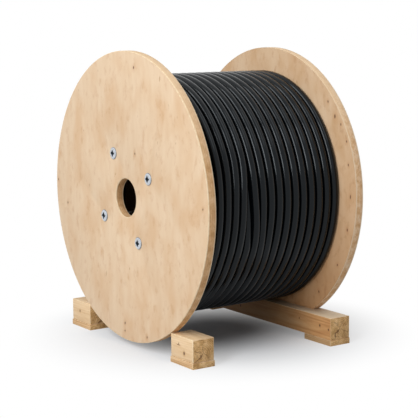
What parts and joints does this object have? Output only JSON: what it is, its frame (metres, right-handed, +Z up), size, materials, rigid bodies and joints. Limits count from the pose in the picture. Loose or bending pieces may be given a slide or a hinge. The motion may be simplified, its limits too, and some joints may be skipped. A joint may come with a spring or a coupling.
{
  "type": "wooden cable drum",
  "caption": "Plywood cable drum on its side, wound with black sheathed cable, resting on short timber chocks and a notched bearer.",
  "frame": {"origin": "on the floor, under the middle of the drum", "axes": "+X along the drum's axis towards the flange on the long bearer, -Y towards the front chock, +Z up"},
  "size_m": [0.3874, 0.6, 0.6106],
  "materials": {
    "plywood": "smooth sanded veneer, unfinished",
    "fibreboard": "spiral-wound board, matt",
    "cable_sheath": "extruded black sheath, satin",
    "zinc_steel": "bright zinc plated",
    "timber": "sawn softwood, unfinished"
  },
  "bodies": {
    "root": {"flange_left": "plywood", "flange_right": "plywood", "barrel": "fibreboard", "cable_winding": "cable_sheath", "tie_bolt_1": "zinc_steel", "tie_bolt_2": "zinc_steel", "tie_bolt_3": "zinc_steel", "tie_bolt_4": "zinc_steel", "tie_nut_1": "zinc_steel", "tie_nut_2": "zinc_steel", "tie_nut_3": "zinc_steel", "tie_nut_4": "zinc_steel", "chock_front": "timber", "chock_front_board": "timber", "chock_back": "timber", "chock_back_board": "timber", "bearer": "timber", "bearer_front_board": "timber", "bearer_back_board": "timber"}
  },
  "joints": []
}
